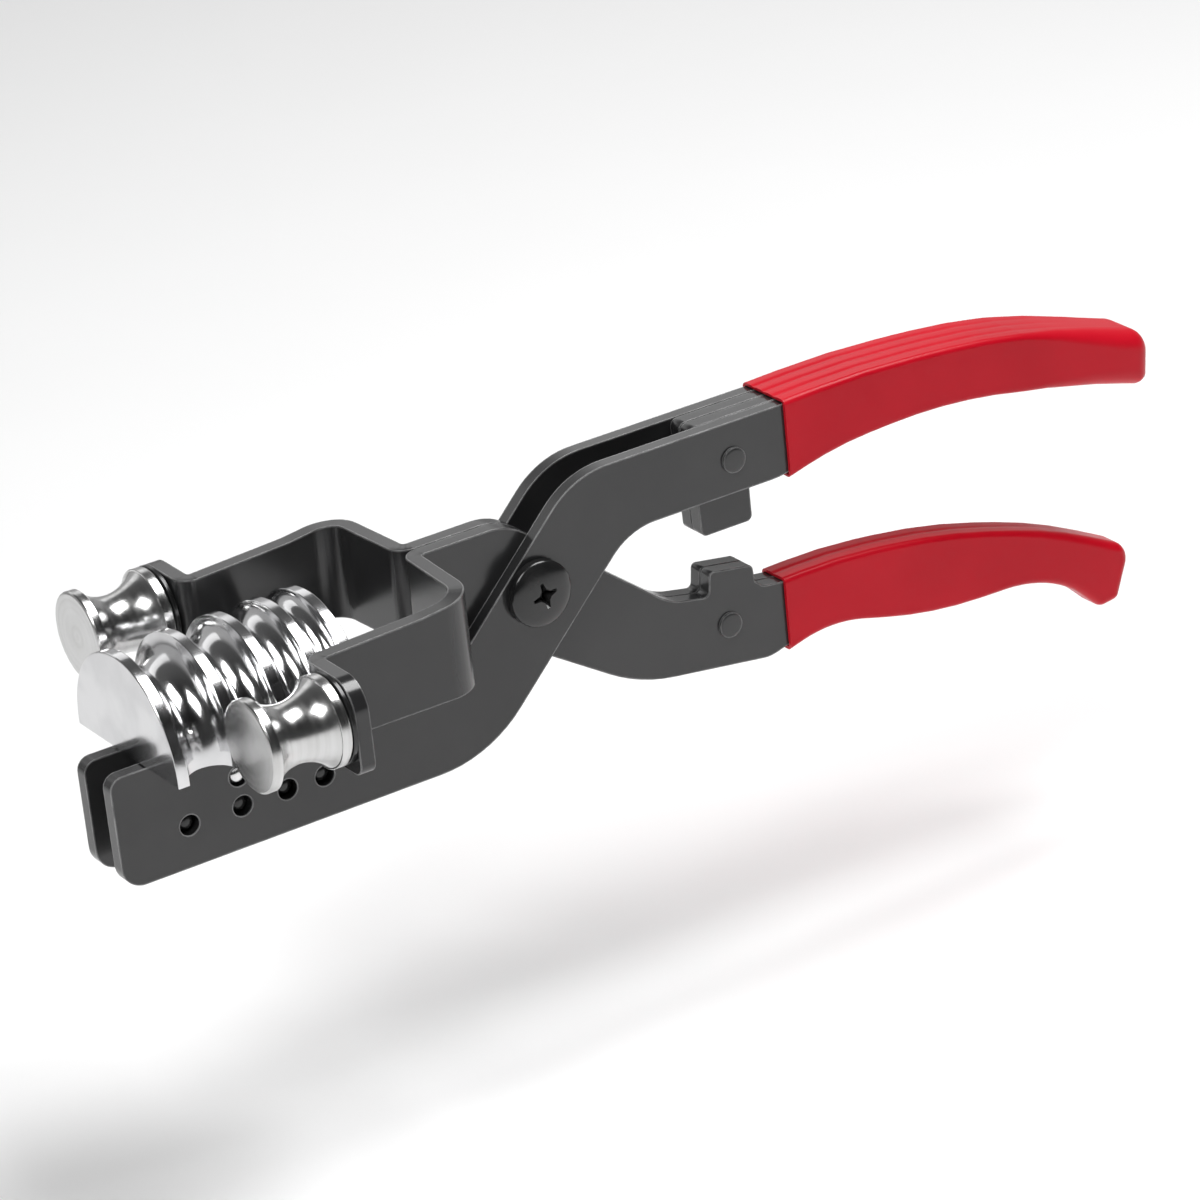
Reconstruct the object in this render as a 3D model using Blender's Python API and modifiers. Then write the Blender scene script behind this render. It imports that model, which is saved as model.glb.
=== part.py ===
"""Hand pliers that bend thin metal tube over a grooved half-round former.

Two levers cross at a pivot screw. The former lever has two outer side plates that carry the chrome
former and the upper handle. The roller lever has two inner plates, back to back at the handle, that
splay into a yoke with a waisted roller on each arm. The pose is the open one, about 10 degrees
before the two stop tabs meet.

Metres, +X from the jaw to the handles, +Z up, origin at the centre of the bounding box.
"""
import math

import bmesh
import bpy
from mathutils import Matrix, Vector

MM = 0.001

# Overall frame: the sketch origin is the lower front corner of the jaw, on the mid plane
MIDDLE_X = 118.027          # sketch X of the bounding box centre
MIDDLE_Z = 16.287           # sketch Z of the bounding box centre

# Plate stack
OUTER_T = 2.8               # side plate thickness
INNER_T = 3.1               # roller arm and handle filler thickness
GAP = 0.25                  # space between stacked pieces
INNER_Y = GAP / 2 + INNER_T / 2
OUTER_Y = 1.5 * GAP + INNER_T + OUTER_T / 2
STACK_Y = OUTER_Y + OUTER_T / 2

# Pivot
PIVOT_X, PIVOT_Z = 91.4, 29.3
PIVOT_R = 3.5
RUN_FIT = 0.06              # radial clearance where something turns
HEAD_R, HEAD_H = 6.5, 2.9
NUT_FLATS, NUT_H = 11.0, 4.5

# Jaw and side plates
JAW_TOP = 22.2
JAW_DIP = 17.0              # top edge behind the former
DIAG_LOW, DIAG_HIGH = 77.7, 52.5    # the crank's 45 degree edges are z = x - these
HANDLE_LOW, HANDLE_HIGH = 34.85, 49.2
STOP_X0, STOP_X1, STOP_Z = 130.2, 141.7, 26.7

# Former
TUBES = (9.53, 7.94, 6.35, 4.76)    # tube diameters, front groove first
FLANGE_T = 2.3
FORMER_X = 7.5              # front face
FORMER_R = 18.8
FORMER_Z = 23.2             # axis height
FORMER_BASE = 22.5
TANG_Z = 3.5
PIN_Z, PIN_R, PIN_HOLE_R = 8.3, 1.8, 2.0
PIN_RECESS = 1.1
DOWEL_Z = 14.3

# Yoke
ARM_IN, ARM_IN_FRONT = 22.1, 21.8   # inner face of an arm, at the shoulder and at the front
SHOULDER_X = 66.2
TAB_X = 33.1
TAB_END_Y = 39.4
TAB_Z0, TAB_Z1 = 23.0, 40.7
ARM_TOP = 42.8

# Rollers
ROLLER_X, ROLLER_L = 15.7, 16.0
ROLLER_Y, ROLLER_Z = 31.8, 32.5
ROLLER_R, WAIST_R, RIM_W = 8.7, 5.7, 2.0
AXLE_R = 3.0
WASHER_T = 0.9

# Handles
RIVET_R, RIVET_HEAD_R, RIVET_HEAD_H = 2.0, 2.8, 0.7
UPPER_RIVET = (136.7, 41.6)
LOWER_RIVET = (134.4, 7.2)
GRIP_WALL = 0.9


def clear_scene():
    for obj in list(bpy.data.objects):
        bpy.data.objects.remove(obj, do_unlink=True)


def new_collection(name):
    collection = bpy.data.collections.new(name)
    bpy.context.scene.collection.children.link(collection)
    return collection


def new_material(name, colour, roughness, metallic):
    material = bpy.data.materials.new(name)
    material.use_nodes = True
    shader = material.node_tree.nodes["Principled BSDF"]
    shader.inputs["Base Color"].default_value = (*colour, 1.0)
    shader.inputs["Roughness"].default_value = roughness
    shader.inputs["Metallic"].default_value = metallic
    return material


def rounded(corners, step=math.radians(15)):
    """Turn corners (x, y, radius) of a closed outline into points with filleted corners."""
    points = []
    for i, (x, y, radius) in enumerate(corners):
        here = Vector((x, y))
        before = Vector(corners[i - 1][:2]) - here
        after = Vector(corners[(i + 1) % len(corners)][:2]) - here
        a, b = before.normalized(), after.normalized()
        angle = a.angle(b)
        if radius <= 0 or angle > math.radians(179.5):
            points.append(here)
            continue
        reach = min(radius / math.tan(angle / 2), 0.49 * before.length, 0.49 * after.length)
        radius = reach * math.tan(angle / 2)
        centre = here + (a + b).normalized() * (radius / math.sin(angle / 2))
        start, end = here + a * reach - centre, here + b * reach - centre
        sweep = start.angle_signed(end)
        count = max(2, math.ceil(abs(sweep) / step))
        for k in range(count + 1):
            turn = -sweep * k / count
            c, s = math.cos(turn), math.sin(turn)
            points.append(centre + Vector((start.x * c - start.y * s, start.x * s + start.y * c)))
    return points


def inset(corners, distance):
    """Move every edge of a counter-clockwise outline inwards, keeping its corner radii in step."""
    result = []
    for i, (x, y, radius) in enumerate(corners):
        here = Vector((x, y))
        a = (here - Vector(corners[i - 1][:2])).normalized()
        b = (Vector(corners[(i + 1) % len(corners)][:2]) - here).normalized()
        normal_a, normal_b = Vector((-a.y, a.x)), Vector((-b.y, b.x))
        shift = (normal_a + normal_b) / (1 + normal_a.dot(normal_b)) * distance
        convex = a.x * b.y - a.y * b.x > 0
        result.append((x + shift.x, y + shift.y, max(radius + (-distance if convex else distance), 0.3)))
    return result


def as_mesh(obj):
    """Replace a curve object by its mesh, with the caps welded to the walls."""
    bpy.context.view_layer.update()
    graph = bpy.context.evaluated_depsgraph_get()
    mesh = bpy.data.meshes.new_from_object(obj.evaluated_get(graph))
    work = bmesh.new()
    work.from_mesh(mesh)
    bmesh.ops.remove_doubles(work, verts=work.verts, dist=1e-6)
    bmesh.ops.dissolve_degenerate(work, dist=1e-7, edges=work.edges)
    bmesh.ops.recalc_face_normals(work, faces=work.faces)
    work.to_mesh(mesh)
    work.free()
    solid = bpy.data.objects.new(obj.name + "_solid", mesh)
    solid.matrix_world = obj.matrix_world
    for collection in obj.users_collection:
        collection.objects.link(solid)
    name = obj.name
    bpy.data.objects.remove(obj, do_unlink=True)
    solid.name = name
    return solid


VIEW_TURN = {
    "side": Matrix.Rotation(math.radians(90), 4, "X"),      # outline (x, z), thickness along Y
    "plan": Matrix.Identity(4),                             # outline (x, y), thickness along Z
    "front": Matrix(((0, 0, 1, 0), (1, 0, 0, 0), (0, 1, 0, 0), (0, 0, 0, 1))),  # (y, z), along X
}


def plate(name, corners, thickness, middle, view="side", collection=None, step=15):
    """A flat plate: a filleted outline with a thickness, centred at `middle` across the view."""
    curve = bpy.data.curves.new(name, "CURVE")
    curve.dimensions = "2D"
    curve.fill_mode = "BOTH"
    curve.extrude = thickness / 2 * MM
    spline = curve.splines.new("POLY")
    points = rounded(corners, math.radians(step))
    spline.points.add(len(points) - 1)
    for point, spot in zip(spline.points, points):
        point.co = (spot.x * MM, spot.y * MM, 0, 1)
    spline.use_cyclic_u = True
    obj = bpy.data.objects.new(name, curve)
    collection.objects.link(obj)
    offset = {"side": (0, middle, 0), "plan": (0, 0, middle), "front": (middle, 0, 0)}[view]
    obj.matrix_world = Matrix.Translation(Vector(offset) * MM) @ VIEW_TURN[view]
    return as_mesh(obj)


def rod(name, radius, start, length, axis, collection, segments=32):
    """A plain cylinder from `start` along a world axis."""
    bpy.ops.mesh.primitive_cylinder_add(vertices=segments, radius=radius * MM, depth=length * MM)
    obj = bpy.context.active_object
    obj.name = name
    turn = Vector((0, 0, 1)).rotation_difference(Vector(axis)).to_matrix().to_4x4()
    centre = Vector(start) + Vector(axis) * (length / 2)
    obj.matrix_world = Matrix.Translation(centre * MM) @ turn
    move_to(obj, collection)
    return obj


def turned(name, profile, origin, axis, collection, segments=32):
    """A turned piece. The profile is (distance along the axis, radius), far end first."""
    mesh = bpy.data.meshes.new(name)
    obj = bpy.data.objects.new(name, mesh)
    collection.objects.link(obj)
    work = bmesh.new()
    verts = [work.verts.new((r * MM, 0, h * MM)) for h, r in profile]
    for a, b in zip(verts, verts[1:]):
        work.edges.new((a, b))
    work.to_mesh(mesh)
    work.free()
    screw = obj.modifiers.new("turn", "SCREW")
    screw.steps = segments
    screw.render_steps = segments
    screw.use_merge_vertices = True
    screw.merge_threshold = 0.000001
    turn = Vector((0, 0, 1)).rotation_difference(Vector(axis)).to_matrix().to_4x4()
    obj.matrix_world = Matrix.Translation(Vector(origin) * MM) @ turn
    return obj


def move_to(obj, collection):
    for old in list(obj.users_collection):
        old.objects.unlink(obj)
    collection.objects.link(obj)


def combine(obj, other, operation):
    modifier = obj.modifiers.new(operation.lower(), "BOOLEAN")
    modifier.operation = operation
    modifier.solver = "EXACT"
    modifier.object = other
    other.hide_render = True
    other.display_type = "WIRE"


def drill(obj, radius, x, z, cutters, y=0.0, depth=40.0, segments=32):
    hole = rod(obj.name + "_hole", radius, (x, y - depth / 2, z), depth, (0, 1, 0), cutters, segments)
    combine(obj, hole, "DIFFERENCE")


def finish(obj, material, smooth=30):
    obj.data.materials.clear()
    obj.data.materials.append(material)
    obj.data.shade_smooth()
    obj.data.set_sharp_from_angle(angle=math.radians(smooth))


def upper_grip_outline():
    """Outer side view of the upper grip, counter-clockwise from its lower front corner."""
    return [(148.8, 33.7, 0.8), (160, 36.4, 30), (185, 37.5, 60), (210, 33.4, 60), (235.4, 25.8, 3.0),
            (236.4, 38.0, 5.3), (214, 45.0, 60), (196, 48.6, 70), (168, 50.8, 70), (148.8, 50.4, 0.8)]


def lower_grip_outline():
    """Outer side view of the lower grip with its hooked end."""
    return [(147.3, -2.9, 0.8), (157.5, -0.2, 25), (181, -6.0, 45), (206, -7.0, 20), (214.7, -9.7, 14),
            (221.3, -18.2, 2.2), (226.1, -18.0, 2.2), (230.5, -7.2, 4.3), (211.8, 2.2, 60), (185, 10.3, 80),
            (160, 13.2, 60), (147.3, 13.1, 0.8)]


def grip_core(outline, clearance):
    """The part of an inset grip outline that lies inside the grip, without its two mouth corners."""
    return inset(outline, GRIP_WALL + clearance)[1:-1]


def side_plate_outline():
    core = grip_core(upper_grip_outline(), GAP)
    return ([(0, 0, 4.5), (DIAG_LOW, 0, 26), (DIAG_LOW + HANDLE_LOW, HANDLE_LOW, 14), (149.5, HANDLE_LOW, 20)]
            + core
            + [(149.5, HANDLE_HIGH, 20), (DIAG_HIGH + HANDLE_HIGH, HANDLE_HIGH, 18),
               (DIAG_HIGH + JAW_DIP, JAW_DIP, 9), (51.5, JAW_DIP, 4), (50.0, JAW_TOP, 1.5), (0, JAW_TOP, 2.6)])


def filler_outline():
    core = grip_core(upper_grip_outline(), GAP)
    return ([(STOP_X0, STOP_Z, 1.2), (STOP_X1, STOP_Z, 1.2), (STOP_X1, HANDLE_LOW, 0.6), (149.5, HANDLE_LOW, 20)]
            + core + [(149.5, HANDLE_HIGH, 20), (STOP_X0 - 0.8, HANDLE_HIGH, 1.5)])


def arm_side_outline():
    """Roller arm seen from the side: tab and arm at the front, pivot boss, handle with its stop tab."""
    core = grip_core(lower_grip_outline(), GAP)
    return ([(TAB_X - 5, TAB_Z0, 0), (TAB_X + 4.5, TAB_Z0, 1), (TAB_X + 8, 23.9, 3), (69.5, 23.9, 4),
             (93, 15.0, 25), (113.4, 1.7, 35), (143, -2.5, 8), (149, -0.9, 8)]
            + core
            + [(149, 11.7, 2), (142.6, 12.6, 1), (141.0, 14.1, 0.6), (140.7, 17.6, 1.2), (131.0, 19.2, 1.0),
               (130.4, 14.2, 1.0), (121.8, 15.9, 12), (88.5, ARM_TOP, 12), (72, ARM_TOP, 20), (60, 41.5, 30),
               (TAB_X - 5, TAB_Z1, 0)])


def arm_plan_outline():
    """Near arm seen from above, as one strip bent outwards twice. Y is the distance from the middle."""
    t = INNER_T
    inner, back = GAP / 2, SHOULDER_X + t
    return [(240, inner, 0), (240, inner + INNER_T, 0), (back + 0.6, inner + INNER_T, 1.0),
            (back - 0.8, ARM_IN + t, 7.5), (TAB_X + t, ARM_IN_FRONT + t, 1.2), (TAB_X + t, TAB_END_Y, 0.4),
            (TAB_X, TAB_END_Y, 0.4), (TAB_X, ARM_IN_FRONT, 3.6), (SHOULDER_X - 0.8, ARM_IN, 4.5),
            (SHOULDER_X + 0.6, inner, 3.8)]


def arm_front_outline():
    """Front view limit of an arm: it rounds the free corners of the roller tab."""
    return [(-2, -40, 0), (12, -40, 0), (12, 20, 0), (20, TAB_Z0 - 1, 0), (28, TAB_Z0, 0),
            (TAB_END_Y, TAB_Z0, 2.5), (TAB_END_Y, TAB_Z1, 6.0), (28, TAB_Z1 + 0.6, 0), (12, 60, 0), (-2, 60, 0)]


def build_side_plates(parts, cutters, paint):
    for side, name in ((-1, "side_plate_near"), (1, "side_plate_far")):
        obj = plate(name, side_plate_outline(), OUTER_T, side * OUTER_Y, collection=parts)
        drill(obj, PIVOT_R + 0.2, PIVOT_X, PIVOT_Z, cutters)
        drill(obj, RIVET_R + 0.2, *UPPER_RIVET, cutters, segments=24)
        for x in groove_middles():
            drill(obj, PIN_HOLE_R, x, PIN_Z, cutters, segments=24)
        drill(obj, PIN_HOLE_R, groove_middles()[1], DOWEL_Z, cutters, segments=24)
        finish(obj, paint)


def build_fillers(parts, cutters, paint):
    for side, name in ((-1, "handle_filler_near"), (1, "handle_filler_far")):
        obj = plate(name, filler_outline(), INNER_T, side * INNER_Y, collection=parts)
        drill(obj, RIVET_R + 0.2, *UPPER_RIVET, cutters, segments=24)
        finish(obj, paint)


def build_arms(parts, cutters, paint):
    for side, name in ((-1, "roller_arm_near"), (1, "roller_arm_far")):
        plan = [(x, side * y, r) for x, y, r in arm_plan_outline()]
        front = [(side * y, z, r) for y, z, r in arm_front_outline()]
        obj = plate(name, arm_side_outline(), 100, 0, collection=parts)
        combine(obj, plate(name + "_plan", plan, 200, 10, "plan", cutters), "INTERSECT")
        combine(obj, plate(name + "_front", front, 500, 100, "front", cutters), "INTERSECT")
        drill(obj, PIVOT_R + RUN_FIT, PIVOT_X, PIVOT_Z, cutters)
        drill(obj, RIVET_R + 0.2, *LOWER_RIVET, cutters, segments=24)
        bore = rod(name + "_axle_hole", AXLE_R + 0.2, (TAB_X - 3, side * ROLLER_Y, ROLLER_Z), 12, (1, 0, 0),
                   cutters)
        combine(obj, bore, "DIFFERENCE")
        finish(obj, paint)


def groove_middles():
    middles, x = [], FORMER_X
    for tube in TUBES:
        middles.append(x + FLANGE_T + tube / 2)
        x += FLANGE_T + tube
    return middles


def former_profile(arc_steps=6):
    """Outline of the former from its rear end to its front end: flanges and half-round grooves."""
    length = sum(TUBES) + FLANGE_T * (len(TUBES) + 1)
    chamfer = 0.25
    points = [(length, 0.0)]
    x = length
    for tube in (*reversed(TUBES), None):
        points += [(x, FORMER_R - chamfer), (x - chamfer, FORMER_R), (x - FLANGE_T + chamfer, FORMER_R)]
        if tube is None:
            points.append((x - FLANGE_T, FORMER_R - chamfer))
            break
        middle = x - FLANGE_T - tube / 2
        for k in range(arc_steps + 1):
            turn = math.radians(8) + (math.pi - math.radians(16)) * k / arc_steps
            points.append((middle + tube / 2 * math.cos(turn), FORMER_R - tube / 2 * math.sin(turn)))
        x -= FLANGE_T + tube
    points.append((0.0, 0.0))
    return points


def build_former(parts, cutters, chrome, steel):
    length = sum(TUBES) + FLANGE_T * (len(TUBES) + 1)
    former = turned("former", former_profile(), (FORMER_X, 0, FORMER_Z), (1, 0, 0), parts, segments=40)
    below = plate("former_base_cut", [(-5, -60, 0), (80, -60, 0), (80, FORMER_BASE, 0), (-5, FORMER_BASE, 0)],
                  60, 0, collection=cutters)
    combine(former, below, "DIFFERENCE")
    tang = [(FORMER_X + 1.5, TANG_Z, 1.5), (FORMER_X + length - 1.5, TANG_Z, 1.5),
            (FORMER_X + length - 1.5, FORMER_BASE + 3, 0), (FORMER_X + 1.5, FORMER_BASE + 3, 0)]
    combine(former, plate("former_tang", tang, 2 * INNER_T + 0.1, 0, collection=cutters), "UNION")
    for x in groove_middles():
        drill(former, PIN_HOLE_R, x, PIN_Z, cutters, segments=24)
    drill(former, PIN_HOLE_R, groove_middles()[1], DOWEL_Z, cutters, segments=24)
    finish(former, chrome)
    half = STACK_Y - PIN_RECESS
    pins = [(f"former_pin_{i + 1}", x, PIN_Z, half) for i, x in enumerate(groove_middles())]
    pins.append(("former_dowel", groove_middles()[1], DOWEL_Z, STACK_Y - 0.1))
    for name, x, z, reach in pins:
        profile = [(2 * reach, 0), (2 * reach, PIN_R - 0.4), (2 * reach - 0.4, PIN_R), (0.4, PIN_R),
                   (0, PIN_R - 0.4), (0, 0)]
        finish(turned(name, profile, (x, -reach, z), (0, 1, 0), parts, segments=24), steel)


def build_pivot(parts, cutters, black):
    """Cross-recessed pan head screw from the near side, hexagon nut on the far side."""
    base = STACK_Y + GAP
    tip = base + NUT_H + 0.6
    thread_r = PIVOT_R - 0.6
    top = base + HEAD_H
    dome = [(top - 0.9 * HEAD_H * (1 - math.cos(math.radians(a))), HEAD_R * math.sin(math.radians(a)))
            for a in range(0, 91, 15)]
    profile = dome + [(base, HEAD_R), (base, PIVOT_R), (-base + 0.1, PIVOT_R), (-base + 0.1, thread_r),
                      (-tip + 0.5, thread_r), (-tip, thread_r - 0.5), (-tip, 0)]
    screw = turned("pivot_screw", profile, (PIVOT_X, 0, PIVOT_Z), (0, -1, 0), parts, segments=36)
    for turn in (20, 110):
        bpy.ops.mesh.primitive_cube_add(size=1)
        slot = bpy.context.active_object
        slot.name = "recess_cutter"
        slot.matrix_world = (Matrix.Translation(Vector((PIVOT_X, -top, PIVOT_Z)) * MM)
                             @ Matrix.Rotation(math.radians(turn), 4, "Y")
                             @ Matrix.Diagonal((6.2 * MM, 3.4 * MM, 1.5 * MM, 1)))
        move_to(slot, cutters)
        combine(screw, slot, "DIFFERENCE")
    finish(screw, black)
    corners = [(PIVOT_X + NUT_FLATS / math.sqrt(3) * math.cos(math.radians(60 * k + 30)),
                PIVOT_Z + NUT_FLATS / math.sqrt(3) * math.sin(math.radians(60 * k + 30)), 0) for k in range(6)]
    nut = plate("pivot_nut", corners, NUT_H, STACK_Y + GAP + NUT_H / 2, collection=parts)
    drill(nut, thread_r + 0.2, PIVOT_X, PIVOT_Z, cutters)
    finish(nut, black)


def rivet(name, spot, half, parts, material):
    """A rivet across the handle, a low flat head on each side."""
    reach = half + GAP
    head = [(RIVET_HEAD_H, 0), (RIVET_HEAD_H, RIVET_HEAD_R - 0.35), (RIVET_HEAD_H - 0.35, RIVET_HEAD_R),
            (0, RIVET_HEAD_R), (0, RIVET_R)]
    profile = [(reach + h, r) for h, r in head] + [(-reach - h, r) for h, r in reversed(head)]
    obj = turned(name, profile, (spot[0], 0, spot[1]), (0, 1, 0), parts, segments=28)
    finish(obj, material)


def grip(name, outline, half, parts, cutters, material):
    """Dipped grip: a rounded sleeve, open at the front, closed round the end of the handle."""
    outer_half = half + GAP + GRIP_WALL
    obj = plate(name, outline, 2 * outer_half, 0, collection=parts, step=12)
    weld = obj.modifiers.new("weld", "WELD")
    weld.merge_threshold = 0.00001
    bevel = obj.modifiers.new("round", "BEVEL")
    bevel.width = 1.5 * MM
    bevel.segments = 2
    bevel.limit_method = "ANGLE"
    bevel.angle_limit = math.radians(50)
    pocket = inset(outline, GRIP_WALL)
    for mouth, inner in ((0, 1), (-1, -2)):
        (x0, z0, _), (x1, z1, _) = pocket[mouth], pocket[inner]
        run = 6 / (x1 - x0)
        pocket[mouth] = (x0 - 6, z0 - (z1 - z0) * run, 0)
    combine(obj, plate(name + "_pocket", pocket, 2 * (half + GAP), 0, collection=cutters), "DIFFERENCE")
    finish(obj, material)


def roller_profile(arc_steps=8):
    """Concave-waisted roller from its rear face to its front face, with a blind axle bore."""
    chord = ROLLER_L - 2 * RIM_W
    sag = ROLLER_R - 0.4 - WAIST_R
    arc_r = (chord ** 2 / 4 + sag ** 2) / (2 * sag)
    half_angle = math.asin(chord / 2 / arc_r)
    bore = AXLE_R + RUN_FIT
    depth = ROLLER_L - 3.0
    points = [(ROLLER_L - depth, 0), (ROLLER_L - depth, bore), (ROLLER_L - 0.4, bore), (ROLLER_L, bore + 0.4),
              (ROLLER_L, ROLLER_R - 0.3), (ROLLER_L - 0.3, ROLLER_R), (ROLLER_L - RIM_W, ROLLER_R)]
    for k in range(arc_steps + 1):
        turn = half_angle * (1 - 2 * k / arc_steps)
        points.append((ROLLER_L / 2 + arc_r * math.sin(turn), WAIST_R + arc_r * (1 - math.cos(turn))))
    return points + [(RIM_W, ROLLER_R), (0.5, ROLLER_R), (0, ROLLER_R - 0.5), (0, 0)]


def build_rollers(parts, aluminium, steel, black):
    back = ROLLER_X + ROLLER_L
    for side, word in ((-1, "near"), (1, "far")):
        centre = (0, side * ROLLER_Y, ROLLER_Z)
        roller = turned("roller_" + word, roller_profile(), (ROLLER_X, *centre[1:]), (1, 0, 0), parts, segments=28)
        finish(roller, aluminium)
        washer = [(WASHER_T, AXLE_R + 0.25), (WASHER_T, ROLLER_R), (0, ROLLER_R), (0, AXLE_R + 0.25),
                  (WASHER_T, AXLE_R + 0.25)]
        ring = turned("roller_washer_" + word, washer, (back + GAP, *centre[1:]), (1, 0, 0), parts, segments=28)
        finish(ring, black)
        tail = TAB_X + INNER_T + GAP
        axle = [(tail + 1.2, 0), (tail + 1.2, AXLE_R + 0.9), (tail + 0.7, AXLE_R + 1.4), (tail, AXLE_R + 1.4),
                (tail, AXLE_R), (ROLLER_X + 3.8, AXLE_R), (ROLLER_X + 3.3, AXLE_R - 0.5), (ROLLER_X + 3.3, 0)]
        pin = turned("roller_axle_" + word, axle, centre, (1, 0, 0), parts, segments=28)
        finish(pin, steel)


def main():
    clear_scene()
    parts = new_collection("tube_bending_pliers")
    cutters = new_collection("cutters")
    paint = new_material("black_paint", (0.03, 0.03, 0.033), 0.38, 0.0)
    black = new_material("black_oxide", (0.02, 0.02, 0.022), 0.3, 0.6)
    chrome = new_material("chrome", (0.8, 0.8, 0.82), 0.06, 1.0)
    steel = new_material("pin_steel", (0.55, 0.55, 0.57), 0.3, 1.0)
    aluminium = new_material("turned_aluminium", (0.78, 0.78, 0.77), 0.22, 1.0)
    vinyl = new_material("red_vinyl", (0.5, 0.02, 0.03), 0.3, 0.0)
    build_side_plates(parts, cutters, paint)
    build_fillers(parts, cutters, paint)
    build_former(parts, cutters, chrome, steel)
    build_pivot(parts, cutters, black)
    rivet("upper_rivet", UPPER_RIVET, STACK_Y, parts, black)
    grip("upper_grip", upper_grip_outline(), STACK_Y, parts, cutters, vinyl)
    build_arms(parts, cutters, paint)
    rivet("lower_rivet", LOWER_RIVET, INNER_T + GAP / 2, parts, black)
    grip("lower_grip", lower_grip_outline(), INNER_T + GAP / 2, parts, cutters, vinyl)
    build_rollers(parts, aluminium, steel, black)
    frame = bpy.data.objects.new("frame", None)
    lever = bpy.data.objects.new("roller_lever", None)
    for empty in (frame, lever):
        parts.objects.link(empty)
    lever.location = Vector((PIVOT_X, 0, PIVOT_Z)) * MM
    bpy.context.view_layer.update()
    for collection in (parts, cutters):
        for obj in collection.objects:
            if obj in (frame, lever):
                continue
            if obj.name.startswith(("roller", "lower")):
                obj.parent = lever
                obj.matrix_parent_inverse = Matrix.Translation(-lever.location)
            else:
                obj.parent = frame
    lever.parent = frame
    frame.location = Vector((-MIDDLE_X, 0, -MIDDLE_Z)) * MM


main()
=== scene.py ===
"""Looks of the tube bending pliers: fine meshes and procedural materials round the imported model.

Lengths in the tables below are millimetres in the drawing frame of the pliers: X = 0 at the front edge of
the jaw, Z = 0 at its lower edge, Y = 0 on the mid plane. `world` turns them into the shared frame.
"""

import math

import bmesh
import bpy
from mathutils import Matrix, Vector

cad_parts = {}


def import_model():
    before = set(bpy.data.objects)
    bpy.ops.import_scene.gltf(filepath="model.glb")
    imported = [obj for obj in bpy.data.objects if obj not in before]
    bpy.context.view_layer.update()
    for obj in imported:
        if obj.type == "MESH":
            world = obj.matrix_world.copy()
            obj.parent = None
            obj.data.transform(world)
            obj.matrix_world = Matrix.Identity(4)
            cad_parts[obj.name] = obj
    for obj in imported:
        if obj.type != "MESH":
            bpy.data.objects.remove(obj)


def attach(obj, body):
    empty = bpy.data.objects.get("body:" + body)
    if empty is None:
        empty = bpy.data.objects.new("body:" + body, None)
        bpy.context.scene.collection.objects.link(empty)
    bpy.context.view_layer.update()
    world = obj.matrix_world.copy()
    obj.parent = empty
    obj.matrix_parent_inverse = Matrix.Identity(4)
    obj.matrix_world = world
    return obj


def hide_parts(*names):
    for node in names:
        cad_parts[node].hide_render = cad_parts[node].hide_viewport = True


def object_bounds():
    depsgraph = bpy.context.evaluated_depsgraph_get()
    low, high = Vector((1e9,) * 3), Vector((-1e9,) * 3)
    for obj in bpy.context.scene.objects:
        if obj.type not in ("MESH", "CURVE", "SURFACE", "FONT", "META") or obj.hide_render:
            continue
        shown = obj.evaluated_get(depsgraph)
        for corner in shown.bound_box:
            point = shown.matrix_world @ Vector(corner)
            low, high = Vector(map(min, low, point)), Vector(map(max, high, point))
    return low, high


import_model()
CAD_LOW, CAD_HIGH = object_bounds()

MM = 0.001
MIDDLE_X, MIDDLE_Z = 118.027, 16.287

OUTER_T, INNER_T, GAP = 2.8, 3.1, 0.25
INNER_Y = GAP / 2 + INNER_T / 2
OUTER_Y = 1.5 * GAP + INNER_T + OUTER_T / 2
STACK_Y = OUTER_Y + OUTER_T / 2

PIVOT_X, PIVOT_Z, PIVOT_R = 91.4, 29.3, 3.5
HEAD_R, HEAD_H = 6.5, 2.9
NUT_FLATS, NUT_H = 11.0, 4.5

JAW_TOP, JAW_DIP = 22.2, 17.0
DIAG_LOW, DIAG_HIGH = 77.7, 52.5
HANDLE_LOW, HANDLE_HIGH = 34.85, 49.2
STOP_X0, STOP_X1, STOP_Z = 130.2, 141.7, 26.7

TUBES = (9.53, 7.94, 6.35, 4.76)
FLANGE_T = 2.3
FORMER_X, FORMER_R, FORMER_Z, FORMER_BASE, TANG_Z = 7.5, 18.8, 23.2, 22.5, 3.5
FORMER_L = sum(TUBES) + FLANGE_T * (len(TUBES) + 1)
PIN_Z, PIN_R, PIN_HOLE_R, PIN_RECESS, DOWEL_Z = 8.3, 1.8, 2.0, 1.1, 14.3

ARM_IN, ARM_IN_FRONT, SHOULDER_X = 22.1, 21.8, 66.2
TAB_X, TAB_END_Y, TAB_Z0, TAB_Z1, ARM_TOP = 33.1, 39.4, 23.0, 40.7, 42.8

ROLLER_X, ROLLER_L, ROLLER_Y, ROLLER_Z = 15.7, 16.0, 31.8, 32.5
ROLLER_R, WAIST_R, RIM_W, AXLE_R, WASHER_T = 8.7, 5.7, 2.0, 3.0, 0.9

RIVET_R, RIVET_HEAD_R, RIVET_HEAD_H = 2.0, 2.8, 0.7
UPPER_RIVET, LOWER_RIVET = (136.7, 41.6), (134.4, 7.2)
GRIP_WALL = 0.9
UPPER_SLACK, LOWER_SLACK = 2.2, 0.6

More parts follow.
